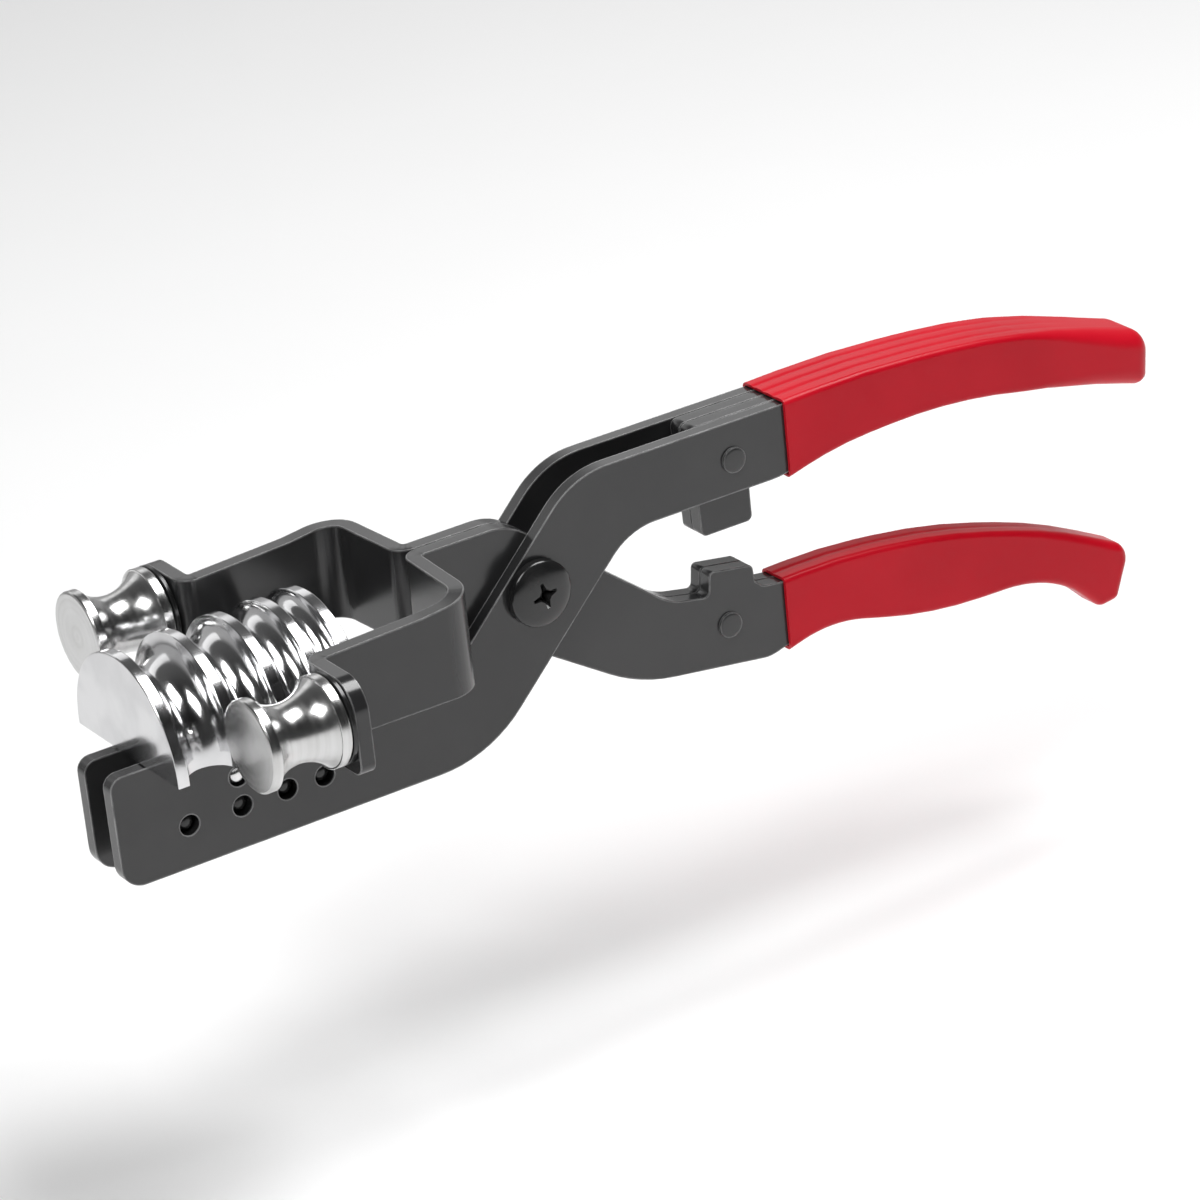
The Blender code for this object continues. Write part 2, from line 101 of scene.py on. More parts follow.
UPPER_ROUND, LOWER_ROUND = 2.6, 0.85   # extra rounding of a sleeve's edge at its tail
SLEEVE_SKIN = 0.4           # how far a sleeve's surface lies inside its outline
SLEEVE_SOFT = 1.15          # rounding of a sleeve's long edges
SECTION_CORNER, SECTION_FLAT = 8, 36   # steps round a sleeve's edge and across its face
RIDGE_H, RIDGE_W = 0.17, 0.62          # ridge of a sleeve over the seam between two plates inside
MOUTH_EXTRA = 0.16          # how much thicker than GRIP_WALL a sleeve is at its mouth

EDGE = 0.38                 # rounding of the plates' edges
EDGE_STEPS = 3
FILLET_STEP = 5.0           # degrees between the points of a filleted corner
FINE_STEP = 4.0             # the same for the sleeves and the bent arms

FLOOR_DROP = 0.045          # metres from the tool down to the floor, so that the open handle clears it


def world(x, y, z):
    """Drawing millimetres to metres in the shared frame."""
    return Vector((x - MIDDLE_X, y, z - MIDDLE_Z)) * MM


# ---------------------------------------------------------------- outlines

def rounded(corners, step=FILLET_STEP):
    """Corners (x, y, radius) of a closed outline to points with filleted corners."""
    points = []
    for i, (x, y, radius) in enumerate(corners):
        here = Vector((x, y))
        before = Vector(corners[i - 1][:2]) - here
        after = Vector(corners[(i + 1) % len(corners)][:2]) - here
        a, b = before.normalized(), after.normalized()
        angle = a.angle(b)
        if radius <= 0 or angle > math.radians(179.5):     # sharp, or straight on
            points.append(here)
            continue
        reach = min(radius / math.tan(angle / 2), 0.49 * before.length, 0.49 * after.length)
        radius = reach * math.tan(angle / 2)
        centre = here + (a + b).normalized() * (radius / math.sin(angle / 2))
        start, end = here + a * reach - centre, here + b * reach - centre
        sweep = start.angle_signed(end)
        count = max(2, math.ceil(abs(sweep) / math.radians(step)))
        for k in range(count + 1):
            turn = -sweep * k / count
            c, s = math.cos(turn), math.sin(turn)
            points.append(centre + Vector((start.x * c - start.y * s, start.x * s + start.y * c)))
    return points


def inset(corners, distance):
    """Every edge of a counter-clockwise outline moved inwards, its corner radii kept in step."""
    least = 0.6                                            # smallest radius a corner is left with
    result = []
    for i, (x, y, radius) in enumerate(corners):
        here = Vector((x, y))
        a = (here - Vector(corners[i - 1][:2])).normalized()
        b = (Vector(corners[(i + 1) % len(corners)][:2]) - here).normalized()
        normal_a, normal_b = Vector((-a.y, a.x)), Vector((-b.y, b.x))
        shift = (normal_a + normal_b) / (1 + normal_a.dot(normal_b)) * distance
        convex = a.x * b.y - a.y * b.x > 0
        change = -distance if convex else distance
        result.append((x + shift.x, y + shift.y, max(radius + change, least)))
    return result


def upper_grip_outline():
    """Red sleeve on the side plates' handle, from the mouth round the tail and back."""
    return [(148.8, 33.7, 0.8), (160, 36.6, 400), (185, 37.7, 400), (210, 33.5, 400), (235.4, 25.8, 3.0),
            (236.4, 38.0, 5.3), (214, 45.2, 400), (196, 48.8, 400), (168, 51.0, 400), (148.8, 50.4, 0.8)]


def lower_grip_outline():
    """Red sleeve on the yoke's handle, with its tail hooked downwards."""
    return [(147.3, -2.9, 0.8), (157.5, -0.2, 60), (181, -6.6, 200), (204, -7.3, 60), (214.0, -11.2, 40),
            (221.6, -18.6, 2.6), (226.4, -18.0, 2.2), (230.5, -7.2, 4.3), (211.8, 2.4, 400), (185, 10.5, 400),
            (160, 13.4, 400), (147.3, 13.1, 0.8)]


def past_mouth(corners, run):
    """A grip outline whose two mouth corners are carried on, straight and sharp, past the mouth."""
    longer = list(corners)
    for end, inner in ((0, 1), (-1, -2)):
        (x0, z0, _), (x1, z1, _) = corners[end], corners[inner]
        longer[end] = (x0 - run, z0 - (z1 - z0) * run / (x1 - x0), 0)
    return longer


def grip_core(outline, slack):
    """The plates inside a grip, drawn smaller by the slack so that the sleeve's end can be rounded."""
    return inset(outline, GRIP_WALL + GAP + slack)[1:-1]


def side_plate_outline():
    """Outer plate: jaw at the left, up the slope, then the upper handle to inside its grip."""
    return ([(0, 0, 4.5), (DIAG_LOW, 0, 26), (DIAG_LOW + HANDLE_LOW, HANDLE_LOW, 14), (149.5, HANDLE_LOW, 20)]
            + grip_core(upper_grip_outline(), UPPER_SLACK)
            + [(149.5, HANDLE_HIGH, 20), (DIAG_HIGH + HANDLE_HIGH, HANDLE_HIGH, 18),
               (DIAG_HIGH + JAW_DIP, JAW_DIP, 9), (51.5, JAW_DIP, 4), (50.0, JAW_TOP, 1.5), (0, JAW_TOP, 2.6)])


def filler_outline():
    """Plate between the outer ones in the upper handle, with the stop tab pointing down."""
    return ([(STOP_X0, STOP_Z, 1.2), (STOP_X1, STOP_Z, 1.2), (STOP_X1, HANDLE_LOW, 0.8),
             (149.5, HANDLE_LOW, 20)]
            + grip_core(upper_grip_outline(), UPPER_SLACK)
            + [(149.5, HANDLE_HIGH, 20), (STOP_X0 - 0.8, HANDLE_HIGH, 1.5)])


# ---------------------------------------------------------------- mesh making

def new_object(name, work):
    """Object from a bmesh whose points are drawing millimetres."""
    for vert in work.verts:
        vert.co = world(*vert.co)
    bmesh.ops.recalc_face_normals(work, faces=work.faces)
    mesh = bpy.data.meshes.new(name)
    work.to_mesh(mesh)
    work.free()
    obj = bpy.data.objects.new(name, mesh)
    bpy.context.scene.collection.objects.link(obj)
    mesh.shade_smooth()
    return obj


def circle(x, y, radius, count):
    """Points round a centre."""
    turns = [2 * math.pi * k / count for k in range(count)]
    return [Vector((x + radius * math.cos(turn), y + radius * math.sin(turn))) for turn in turns]


def flat_plate(corners, thickness, holes=()):
    """bmesh of a plate: X and Z are the outline, Y the thickness, centred on 0. Holes: x, z, radius, count."""
    curve = bpy.data.curves.new("outline", "CURVE")
    curve.dimensions = "2D"
    curve.fill_mode = "BOTH"
    curve.extrude = thickness / 2
    for ring in [rounded(corners)] + [circle(*hole) for hole in holes]:
        spline = curve.splines.new("POLY")
        spline.points.add(len(ring) - 1)
        for point, spot in zip(spline.points, ring):
            point.co = (spot.x, spot.y, 0, 1)
        spline.use_cyclic_u = True
    obj = bpy.data.objects.new("outline", curve)
    bpy.context.scene.collection.objects.link(obj)
    bpy.context.view_layer.update()
    mesh = bpy.data.meshes.new_from_object(obj.evaluated_get(bpy.context.evaluated_depsgraph_get()))
    bpy.data.objects.remove(obj, do_unlink=True)
    work = bmesh.new()
    work.from_mesh(mesh)
    work.transform(Matrix.Rotation(math.radians(90), 4, "X"))
    bmesh.ops.remove_doubles(work, verts=work.verts, dist=1e-4)
    bmesh.ops.dissolve_limit(work, angle_limit=math.radians(0.4), verts=work.verts, edges=work.edges)
    bmesh.ops.recalc_face_normals(work, faces=work.faces)
    return work


def round_edges(work):
    """Rounds the edges between a plate's faces and its rim, and its sharp corners."""
    edges = [e for e in work.edges if e.is_manifold and e.calc_face_angle() > math.radians(35)]
    bmesh.ops.bevel(work, geom=edges, offset=EDGE, offset_type="OFFSET", segments=EDGE_STEPS, profile=0.5,
                    affect="EDGES", clamp_overlap=True)


def smooth_below(obj, degrees):
    """Smooth shading, with creases left sharp where faces meet at more than the angle."""
    obj.data.shade_smooth()
    obj.data.set_sharp_from_angle(angle=math.radians(degrees))


def weighted_normals(obj):
    """Lets large flat faces set the shading, so that rounded edges don't darken them."""
    modifier = obj.modifiers.new("normals", "WEIGHTED_NORMAL")
    modifier.mode = "FACE_AREA"
    modifier.weight = 80
    modifier.keep_sharp = True


def plate(name, corners, thickness, middle, holes):
    """Flat plate with rounded edges, its middle at Y = middle."""
    work = flat_plate(corners, thickness, holes)
    round_edges(work)
    bmesh.ops.translate(work, verts=work.verts, vec=(0, middle, 0))
    return new_object(name, work)


def turned(name, profile, origin, axis, segments=96, sharp=15.0):
    """Turned piece: (distance along the axis, radius) pairs, closed where the radius is 0."""
    work = bmesh.new()
    rings = []
    for along, radius in profile:
        if radius <= 1e-6:
            rings.append([work.verts.new((0, 0, along))])
        else:
            rings.append([work.verts.new((*spot, along)) for spot in circle(0, 0, radius, segments)])
    closed = rings[0][0].co == rings[-1][0].co and len(rings[0]) > 1
    for a, b in zip(rings, rings[1:]):
        for k in range(segments):
            n = (k + 1) % segments
            ring = [a[k % len(a)], a[n % len(a)], b[n % len(b)], b[k % len(b)]]
            work.faces.new(list(dict.fromkeys(ring)))
    if closed:
        bmesh.ops.remove_doubles(work, verts=work.verts, dist=1e-5)
    turn = Vector((0, 0, 1)).rotation_difference(Vector(axis)).to_matrix().to_4x4()
    work.transform(Matrix.Translation(Vector(origin)) @ turn)
    obj = new_object(name, work)
    smooth_below(obj, sharp)
    return obj


def cut(obj, cutter, operation="DIFFERENCE"):
    """Boolean that is applied at once. The cutter is used up."""
    modifier = obj.modifiers.new("cut", "BOOLEAN")
    modifier.operation = operation
    modifier.solver = "EXACT"
    modifier.object = cutter
    bpy.context.view_layer.update()
    mesh = bpy.data.meshes.new_from_object(obj.evaluated_get(bpy.context.evaluated_depsgraph_get()))
    obj.modifiers.remove(modifier)
    obj.data = mesh
    bpy.data.objects.remove(cutter, do_unlink=True)


def block(low, high):
    """Plain cutter box."""
    work = bmesh.new()
    bmesh.ops.create_cube(work, size=1)
    for vert in work.verts:
        vert.co = Vector([l if c < 0 else h for c, l, h in zip(vert.co, low, high)])
    return new_object("cutter", work)


def bore(radius, x, z):
    """Cutter for a round hole along Y, right through."""
    depth = 40.0
    profile = [(0, 0), (0, radius), (depth, radius), (depth, 0)]
    return turned("cutter", profile, (x, -depth / 2, z), (0, 1, 0), 48)


# ---------------------------------------------------------------- bent arms

STRIP_START = 200.0         # X of the arm's path where the flat pattern and the bent arm agree


def arm_path():
    """Plan view centre line of an arm from the handle to the end of its roller tab, as fine points."""
    half = INNER_T / 2
    corners = [(STRIP_START, INNER_Y, 0), (SHOULDER_X + 0.6 + half, INNER_Y, 3.8 - half),
               (SHOULDER_X - 0.8 + half, ARM_IN + half, 4.5 + half),
               (TAB_X + half, ARM_IN_FRONT + half, 3.6 - half), (TAB_X + half, TAB_END_Y, 0)]
    return rounded(corners, FINE_STEP)                     # the two free ends have no radius


class Strip:
    """Maps a flat developed arm (u along it, w across its thickness) onto its bent plan line."""

    def __init__(self):
        self.points = arm_path()
        self.lengths = [0.0]
        for a, b in zip(self.points, self.points[1:]):
            self.lengths.append(self.lengths[-1] + (b - a).length)
        self.end = STRIP_START - self.lengths[-1]

    def u_at(self, index):
        return STRIP_START - self.lengths[index]

    def place(self, u, w):
        run = STRIP_START - u
        last = len(self.points) - 2
        k = 0
        while k < last and self.lengths[k + 1] < run - 1e-9:
            k += 1
        a, b = self.points[k], self.points[k + 1]
        tangent = (b - a).normalized()
        spot = a + tangent * (run - self.lengths[k])
        if abs(run - self.lengths[k + 1]) < 1e-6 and k < last:   # on a bend line: between both sides
            tangent = (tangent + (self.points[k + 2] - b).normalized()).normalized()
        return spot.x + tangent.y * w, spot.y - tangent.x * w


def developed_arm_outline(strip):
    """The arm's flat pattern: roller tab at the left end, handle with stop tab at the right."""
    core = grip_core(lower_grip_outline(), LOWER_SLACK)
    shoulder = [strip.u_at(k) for k, p in enumerate(strip.points) if p.y > ARM_IN and p.x > 50]
    tab = [strip.u_at(k) for k, p in enumerate(strip.points) if p.x < 40]
    corner, bend = sum(shoulder) / len(shoulder), max(tab)
    return ([(strip.end, TAB_Z0, 2.5), (bend, TAB_Z0, 1), (bend + 4, 23.9, 3), (69.5, 23.9, 4),
             (93, 15.0, 25), (113.4, 1.7, 35), (143, -2.5, 8), (149, -0.9, 8)]
            + core
            + [(149, 11.7, 2), (142.6, 12.6, 1), (141.0, 14.1, 0.7), (140.7, 17.6, 1.2), (131.0, 19.2, 1.0),
               (130.4, 14.2, 1.0), (121.8, 15.9, 12), (88.5, ARM_TOP, 12), (corner + 4, ARM_TOP, 20),
               (corner - 7, 41.5, 30), (bend, TAB_Z1, 3), (strip.end, TAB_Z1, 6.0)])


def arm(name, side):
    """One plate of the yoke: its flat pattern is cut along every bend line, then bent."""
    strip = Strip()
    holes = [(PIVOT_X, PIVOT_Z, PIVOT_R + 0.06, 48), (*LOWER_RIVET, RIVET_R + 0.1, 32)]
    work = flat_plate(developed_arm_outline(strip), INNER_T, holes)
    round_edges(work)
    cuts = sorted({round(strip.u_at(k), 4) for k in range(1, len(strip.points) - 1)})
    for u in cuts:
        bmesh.ops.bisect_plane(work, geom=work.verts[:] + work.edges[:] + work.faces[:], dist=1e-5,
                               plane_co=(u, 0, 0), plane_no=(1, 0, 0))
    for vert in work.verts:
        u, w, z = vert.co
        x, y = strip.place(u, w)
        vert.co = (x, side * y, z)
    return new_object(name, work)


# ---------------------------------------------------------------- grips

def ramp(value, start, run):
    """0 up to the start, 1 after the run, straight between."""
    return min(1.0, max(0.0, (value - start) / run))


def grip(name, outline, half, seams, slack, round_end):
    """Dipped sleeve: soft edges, faint ridges over the seams between the plates inside, open mouth.

    The sleeve is a stack of rows from its near face to its far one. Each row is the outline moved inwards
    to where the section across the sleeve lies, so every row has the same number of points.
    """
    last = 2 * SECTION_CORNER + SECTION_FLAT
    spacing = 2.5                                          # longest gap between two points of a row
    overrun = 5                                            # the sleeve is drawn past its mouth, then cut
    outer = past_mouth(inset(outline, SLEEVE_SKIN), overrun)
    base = rounded(outer, FINE_STEP)
    counts = [max(1, math.ceil((b - a).length / spacing)) for a, b in zip(base, base[1:] + base[:1])]

    def ring_at(depth):
        corners = inset(outer, depth)
        for end in (0, -1):                                # the two corners beyond the mouth stay sharp
            corners[end] = (*corners[end][:2], 0)
        ring = rounded(corners, FINE_STEP)
        return [a.lerp(b, k / count)
                for a, b, count in zip(ring, ring[1:] + ring[:1], counts) for k in range(count)]

    points = ring_at(0.0)
    total = len(points)
    normals = []
    for i in range(total):
        along = (points[(i + 1) % total] - points[i - 1]).normalized()
        normals.append(Vector((along.y, -along.x)))
    wide = half + GRIP_WALL + GAP - SLEEVE_SKIN
    tail = max(p.x for p in points)

    def across(k, soft):
        """Point k of the section: its Y and how far it lies below the outline."""
        if k > SECTION_CORNER + SECTION_FLAT:
            y, depth = across(last - k, soft)
            return -y, depth
        if k <= SECTION_CORNER:
            turn = math.radians(90 * k / SECTION_CORNER)
            return -wide + soft * (1 - math.cos(turn)), soft * (1 - math.sin(turn))
        flat = wide - soft
        return -flat + 2 * flat * (k - SECTION_CORNER) / SECTION_FLAT, 0.0

    work = bmesh.new()
    rows = []
    for k in range(last + 1):
        (y0, d0), (y1, d1) = across(k, SLEEVE_SOFT), across(k, SLEEVE_SOFT + round_end)
        row = []
        for plain, full, point, normal in zip(ring_at(d0), ring_at(d1), points, normals):
            close = ramp(point.x, tail - 34, 30)           # the edges grow rounder towards the tail
            close *= close * (3 - 2 * close)
            fade = 1.0 - ramp(point.x, tail - 44, 30)      # and the ridges fade out there
            y = y0 + (y1 - y0) * close
            ridge = sum(RIDGE_H * fade * math.exp(-((y - seam) / RIDGE_W) ** 2) for seam in seams)
            spot = plain.lerp(full, close) - normal * ridge
            row.append(work.verts.new((spot.x, y, spot.y)))
        rows.append(row)
    for a, b in zip(rows, rows[1:]):
        for i in range(total):
            n = (i + 1) % total
            work.faces.new((a[i], a[n], b[n], b[i]))
    for row in (rows[0], rows[-1]):
        work.faces.new(row)
    bmesh.ops.bisect_plane(work, geom=work.verts[:] + work.edges[:] + work.faces[:], dist=1e-5,
                           plane_co=(outline[0][0], 0, 0), plane_no=(-1, 0, 0), clear_outer=True)
    bmesh.ops.holes_fill(work, edges=[e for e in work.edges if e.is_boundary], sides=0)
    obj = new_object(name, work)

    pocket, mouth = inset(outline, GRIP_WALL + slack), inset(outline, GRIP_WALL + MOUTH_EXTRA)
    pocket[0], pocket[-1] = mouth[0], mouth[-1]
    cut(obj, new_object("cutter", flat_plate(past_mouth(pocket, overrun + 1), 2 * (half + 0.05))))
    smooth_below(obj, 40)
    return obj


# ---------------------------------------------------------------- turned parts

GROOVE_STEPS, WAIST_STEPS = 44, 28
GROOVE_SHARE = 168.0        # degrees of a half circle that a groove really takes up, the rest is its lips


def groove_middles():
    """X of the middle of each groove, and so of the pins under them."""
    middles, x = [], FORMER_X
    for tube in TUBES:
        middles.append(x + FLANGE_T + tube / 2)
        x += FLANGE_T + tube
    return middles


def former_profile():
    """Flanges with small chamfers and grooves between them, from the far end to the near one."""
    chamfer, lip = 0.22, (180.0 - GROOVE_SHARE) / 2
    points = [(FORMER_L, 0.0), (FORMER_L, FORMER_R - chamfer)]
    x = FORMER_L
    for tube in (*reversed(TUBES), None):
        if tube is not TUBES[-1]:
            points.append((x, FORMER_R - chamfer))
        points += [(x - chamfer * 0.3, FORMER_R - chamfer * 0.3), (x - chamfer, FORMER_R),
                   (x - FLANGE_T + chamfer, FORMER_R), (x - FLANGE_T + chamfer * 0.3, FORMER_R - chamfer * 0.3)]
        if tube is None:
            points.append((x - FLANGE_T, FORMER_R - chamfer))
            break
        middle = x - FLANGE_T - tube / 2
        for k in range(GROOVE_STEPS + 1):
            turn = math.radians(lip + GROOVE_SHARE * k / GROOVE_STEPS)
            points.append((middle + tube / 2 * math.cos(turn), FORMER_R - tube / 2 * math.sin(turn)))
        x -= FLANGE_T + tube
    points.append((0.0, 0.0))
    return [p for i, p in enumerate(points) if i == 0 or (Vector(p) - Vector(points[i - 1])).length > 1e-4]


def former():
    """Turned and cut flat below, with a tang that goes down between the side plates, cross bored."""
    obj = turned("chrome_former", former_profile(), (FORMER_X, 0, FORMER_Z), (1, 0, 0), 216)
    cut(obj, block((-5, -60, -60), (80, 60, FORMER_BASE)))
    front, back, top = FORMER_X + 1.5, FORMER_X + FORMER_L - 1.5, FORMER_BASE + 3
    tang = [(front, TANG_Z, 1.5), (back, TANG_Z, 1.5), (back, top, 0), (front, top, 0)]
    cut(obj, new_object("cutter", flat_plate(tang, 2 * INNER_T + 0.1)), "UNION")
    for x in groove_middles():
        cut(obj, bore(PIN_HOLE_R, x, PIN_Z))
    cut(obj, bore(PIN_HOLE_R, groove_middles()[1], DOWEL_Z))
    smooth_below(obj, 15)
    return obj


def roller_profile():
    """Waist between two rims, with a blind bore for the axle at the back."""
    chord = ROLLER_L - 2 * RIM_W
    sag = ROLLER_R - 0.4 - WAIST_R
    arc_r = (chord ** 2 / 4 + sag ** 2) / (2 * sag)
    half_angle = math.asin(chord / 2 / arc_r)
    bore_r, depth = AXLE_R + 0.06, ROLLER_L - 3.0
    points = [(ROLLER_L - depth, 0), (ROLLER_L - depth, bore_r), (ROLLER_L - 0.4, bore_r),
              (ROLLER_L, bore_r + 0.4), (ROLLER_L, ROLLER_R - 0.3), (ROLLER_L - 0.1, ROLLER_R - 0.08),
              (ROLLER_L - 0.3, ROLLER_R), (ROLLER_L - RIM_W + 0.1, ROLLER_R),
              (ROLLER_L - RIM_W, ROLLER_R - 0.12)]
    for k in range(WAIST_STEPS + 1):
        turn = half_angle * (1 - 2 * k / WAIST_STEPS)
        points.append((ROLLER_L / 2 + arc_r * math.sin(turn), WAIST_R + arc_r * (1 - math.cos(turn))))
    return points + [(RIM_W, ROLLER_R - 0.12), (RIM_W - 0.1, ROLLER_R), (0.45, ROLLER_R),
                     (0.15, ROLLER_R - 0.13), (0, ROLLER_R - 0.45), (0, 0)]


def washer_profile(back):
    """Flat ring with chamfered outer edges."""
    high, low, chamfer = ROLLER_R, AXLE_R + 0.25, 0.15
    return [(back, low), (back + WASHER_T, low), (back + WASHER_T, high - chamfer),
            (back + WASHER_T - chamfer, high), (back + chamfer, high), (back, high - chamfer), (back, low)]


def axle_profile(tail, tip):
    """Round riveted head behind the tab, then the shank up to its tip inside the roller."""
    head = [(1.4, 0), (1.35, AXLE_R - 0.6), (1.1, AXLE_R + 0.6), (0.7, AXLE_R + 1.2), (0.3, AXLE_R + 1.4),
            (0, AXLE_R + 1.4), (0, AXLE_R)]
    return [(tail + h, r) for h, r in head] + [(tip + 0.5, AXLE_R), (tip, AXLE_R - 0.5), (tip, 0)]


def pin_profile(reach):
    """Cross pin with a slightly domed end at both sides."""
    end = [(reach, 0), (reach - 0.05, PIN_R - 1.2), (reach - 0.2, PIN_R - 0.7), (reach - 0.45, PIN_R - 0.3),
           (reach - 0.9, PIN_R)]
    return end + [(-a, r) for a, r in reversed(end)]


def centred(obj, spot):
    """Moves an object's origin to a point without moving its surface, for its turning marks."""
    offset = world(*spot)
    obj.data.transform(Matrix.Translation(-offset))
    obj.location = offset
    return obj


DOME_H, SCREW_TURNS = 1.65, 6
RECESS_RINGS = ((-0.8, 1.22), (2.2, 0.42))                 # depth below the top of the head, scale
RECESS_ARM = ((-7, 2.75), (7, 2.75), (26, 1.35), (64, 1.35))   # one of four arms: degrees, reach
RECESS_TURN = 12


def screw():
    """Domed head, plain shank, thread drawn as rings, and a tapered four-pointed recess."""
    base = STACK_Y + GAP
    top, tip, thread_r = base + HEAD_H, base + NUT_H + 0.6, PIVOT_R - 0.6
    root_r, shank_end = thread_r - 0.3, -base + 0.1
    dome = [(top - DOME_H * (1 - math.cos(math.radians(a))), HEAD_R * math.sin(math.radians(a)))
            for a in range(0, 91, 5)]
    profile = dome + [(base + 0.12, HEAD_R), (base, HEAD_R - 0.12), (base, PIVOT_R), (shank_end, PIVOT_R),
                      (shank_end, root_r)]
    pitch = (tip - base - 0.4) / SCREW_TURNS
    for k in range(SCREW_TURNS):
        at = shank_end - 0.05 - pitch * k
        profile += [(at - 0.15, root_r), (at - pitch / 2, thread_r), (at - pitch + 0.1, root_r)]
    profile += [(-tip + 0.3, root_r), (-tip, thread_r - 0.7), (-tip, 0)]
    obj = turned("pivot_screw_head", profile, (PIVOT_X, 0, PIVOT_Z), (0, -1, 0), 96, 40)
    work = bmesh.new()
    rings = []
    for depth, scale in RECESS_RINGS:
        ring = []
        for k in range(4):
            for turn, reach in RECESS_ARM:
                at = math.radians(90 * k + turn + RECESS_TURN)
                ring.append(work.verts.new((PIVOT_X + reach * scale * math.cos(at), depth - top,
                                            PIVOT_Z + reach * scale * math.sin(at))))
        rings.append(ring)
    upper, lower = rings
    for k in range(len(upper)):
        n = (k + 1) % len(upper)
        work.faces.new((upper[k], upper[n], lower[n], lower[k]))
    for ring in rings:
        work.faces.new(ring)
    cut(obj, new_object("cutter", work))
    smooth_below(obj, 35)
    return obj


def nut():
    """Hexagon with both ends turned down to a cone, which leaves arcs on its flats."""
    wide = NUT_FLATS / math.sqrt(3)
    low, high = STACK_Y + GAP, STACK_Y + GAP + NUT_H
    corners = [(PIVOT_X + wide * math.cos(math.radians(60 * k + 30)),
                PIVOT_Z + wide * math.sin(math.radians(60 * k + 30)), 0) for k in range(6)]
    work = flat_plate(corners, NUT_H, [(PIVOT_X, PIVOT_Z, PIVOT_R - 0.4, 48)])
    bmesh.ops.translate(work, verts=work.verts, vec=(0, low + NUT_H / 2, 0))
    obj = new_object("pivot_hex_nut", work)
    cone = [(low - 0.01, 0), (low - 0.01, wide - 0.7), (low + 0.6, wide + 0.35), (high - 0.75, wide + 0.35),
            (high + 0.01, wide - 0.95), (high + 0.01, 0)]
    cut(obj, turned("cutter", cone, (PIVOT_X, 0, PIVOT_Z), (0, 1, 0), 96), "INTERSECT")
    smooth_below(obj, 18)
    return obj


def rivet(name, spot, half):
    """Rivet through a stack of plates that reaches half to either side, with a low head at each end."""
    reach = half + 0.02
    high, wide = RIVET_HEAD_H, RIVET_HEAD_R - 0.25
    head = [(high, 0), (high - 0.02, wide - 0.7), (high - 0.07, wide - 0.25), (high - 0.18, wide - 0.05),
            (high - 0.3, wide), (0, wide), (0, RIVET_R)]
    profile = [(reach + h, r) for h, r in head] + [(-reach - h, r) for h, r in reversed(head)]
    return turned(name, profile, (spot[0], 0, spot[1]), (0, 1, 0), 64, 30)


# ---------------------------------------------------------------- materials

def soft_step(tree, value, low, high, to_low, to_high):
    """Output that goes softly from to_low, where the value is low, to to_high, where it is high."""
    node = tree.nodes.new("ShaderNodeMapRange")
    node.interpolation_type = "SMOOTHSTEP"
    tree.links.new(value, node.inputs["Value"])
    for key, number in (("From Min", low), ("From Max", high), ("To Min", to_low), ("To Max", to_high)):
        node.inputs[key].default_value = number
    return node.outputs[0]


class Nodes:
    """Small helper that adds nodes and links to a material."""

    def __init__(self, name):
        self.material = bpy.data.materials.new(name)
        self.material.use_nodes = True
        self.tree = self.material.node_tree
        self.shader = self.tree.nodes["Principled BSDF"]

    def add(self, kind, settings=None, **inputs):
        node = self.tree.nodes.new(kind)
        for key, value in (settings or {}).items():
            setattr(node, key, value)
        for key, value in inputs.items():
            by_number = key[0] == "i" and key[1:].isdigit()          # i0, i1 name sockets by position
            self.feed(node.inputs[int(key[1:]) if by_number else key.replace("_", " ")], value)
        return node

    def feed(self, socket, value):
        """Links another node's output, or sets a plain value."""
        if isinstance(value, bpy.types.NodeSocket):
            self.tree.links.new(value, socket)
        else:
            socket.default_value = value

    def math(self, operation, a, b=0.5):
        return self.add("ShaderNodeMath", {"operation": operation}, i0=a, i1=b).outputs[0]

    def spread(self, value, low, high, to_low, to_high):
        return soft_step(self.tree, value, low, high, to_low, to_high)

    def noise(self, vector, scale, detail):
        return self.add("ShaderNodeTexNoise", None, Vector=vector, Scale=scale, Detail=detail).outputs[0]

    def mix(self, factor, a, b):
        """Colour a where the factor is 0, b where it is 1. Sockets 6, 7 and 2 are the colour ones."""
        return self.add("ShaderNodeMix", {"data_type": "RGBA"}, i0=factor, i6=a, i7=b).outputs[2]

    def bump(self, height, strength, distance, normal=None):
        node = self.add("ShaderNodeBump", None, Height=height, Strength=strength, Distance=distance)
        if normal is not None:
            self.feed(node.inputs["Normal"], normal)
        return node.outputs[0]

    def place(self):
        return self.add("ShaderNodeTexCoord").outputs["Object"]

    def edges(self, radius, low=0.02, high=0.35):
        """1 on sharp or rounded edges, 0 on flats."""
        soft = self.add("ShaderNodeBevel", {"samples": 6}, Radius=radius).outputs[0]
        true = self.add("ShaderNodeNewGeometry").outputs["Normal"]
        same = self.add("ShaderNodeVectorMath", {"operation": "DOT_PRODUCT"}, i0=soft, i1=true).outputs["Value"]
        return self.spread(self.math("SUBTRACT", 1.0, same), low, high, 0.0, 1.0)

    def done(self, **inputs):
        for key, value in inputs.items():
            self.feed(self.shader.inputs[key.replace("_", " ")], value)
        return self.material


def grey(level, tint=(1, 1, 1)):
    return (*(level * part for part in tint), 1)


